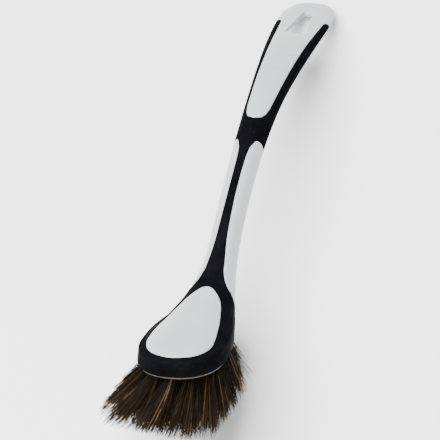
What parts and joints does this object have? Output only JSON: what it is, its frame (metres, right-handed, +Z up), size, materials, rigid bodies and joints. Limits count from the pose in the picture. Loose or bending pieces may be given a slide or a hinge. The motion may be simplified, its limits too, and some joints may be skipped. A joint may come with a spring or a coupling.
{
  "type": "dish brush",
  "caption": "Long-handled dish brush with an egg-shaped head, splayed brown bristles, a white moulded handle, black soft-touch trim and a hanging hole.",
  "frame": {"origin": "on the table under the middle of the brush's bounding box, as it rests on its heel bristles and handle end", "axes": "+X from the head towards the handle end, +Y to the brush's left seen from the handle end, +Z up"},
  "size_m": [0.321, 0.0666, 0.086],
  "materials": {
    "white_plastic": "satin moulded",
    "black_soft_plastic": "satin soft touch",
    "block_plastic": "matte",
    "bristle_fibre": "fibrous",
    "anchor_wire": "drawn flat wire"
  },
  "bodies": {
    "root": {"handle_core": "white_plastic", "soft_grip": "black_soft_plastic", "bristle_block": "block_plastic", "bristle_tuft_01": "bristle_fibre", "bristle_tuft_02": "bristle_fibre", "bristle_tuft_03": "bristle_fibre", "bristle_tuft_04": "bristle_fibre", "bristle_tuft_05": "bristle_fibre", "bristle_tuft_06": "bristle_fibre", "bristle_tuft_07": "bristle_fibre", "bristle_tuft_08": "bristle_fibre", "bristle_tuft_09": "bristle_fibre", "bristle_tuft_10": "bristle_fibre", "bristle_tuft_11": "bristle_fibre", "bristle_tuft_12": "bristle_fibre", "bristle_tuft_13": "bristle_fibre", "bristle_tuft_14": "bristle_fibre", "bristle_tuft_15": "bristle_fibre", "bristle_tuft_16": "bristle_fibre", "bristle_tuft_17": "bristle_fibre", "bristle_tuft_18": "bristle_fibre", "bristle_tuft_19": "bristle_fibre", "bristle_tuft_20": "bristle_fibre", "bristle_tuft_21": "bristle_fibre", "bristle_tuft_22": "bristle_fibre", "bristle_tuft_23": "bristle_fibre", "bristle_tuft_24": "bristle_fibre", "bristle_tuft_25": "bristle_fibre", "bristle_tuft_26": "bristle_fibre", "tuft_anchor_01": "anchor_wire", "tuft_anchor_02": "anchor_wire", "tuft_anchor_03": "anchor_wire", "tuft_anchor_04": "anchor_wire", "tuft_anchor_05": "anchor_wire", "tuft_anchor_06": "anchor_wire", "tuft_anchor_07": "anchor_wire", "tuft_anchor_08": "anchor_wire", "tuft_anchor_09": "anchor_wire", "tuft_anchor_10": "anchor_wire", "tuft_anchor_11": "anchor_wire", "tuft_anchor_12": "anchor_wire", "tuft_anchor_13": "anchor_wire", "tuft_anchor_14": "anchor_wire", "tuft_anchor_15": "anchor_wire", "tuft_anchor_16": "anchor_wire", "tuft_anchor_17": "anchor_wire", "tuft_anchor_18": "anchor_wire", "tuft_anchor_19": "anchor_wire", "tuft_anchor_20": "anchor_wire", "tuft_anchor_21": "anchor_wire", "tuft_anchor_22": "anchor_wire", "tuft_anchor_23": "anchor_wire", "tuft_anchor_24": "anchor_wire", "tuft_anchor_25": "anchor_wire", "tuft_anchor_26": "anchor_wire"}
  },
  "joints": []
}
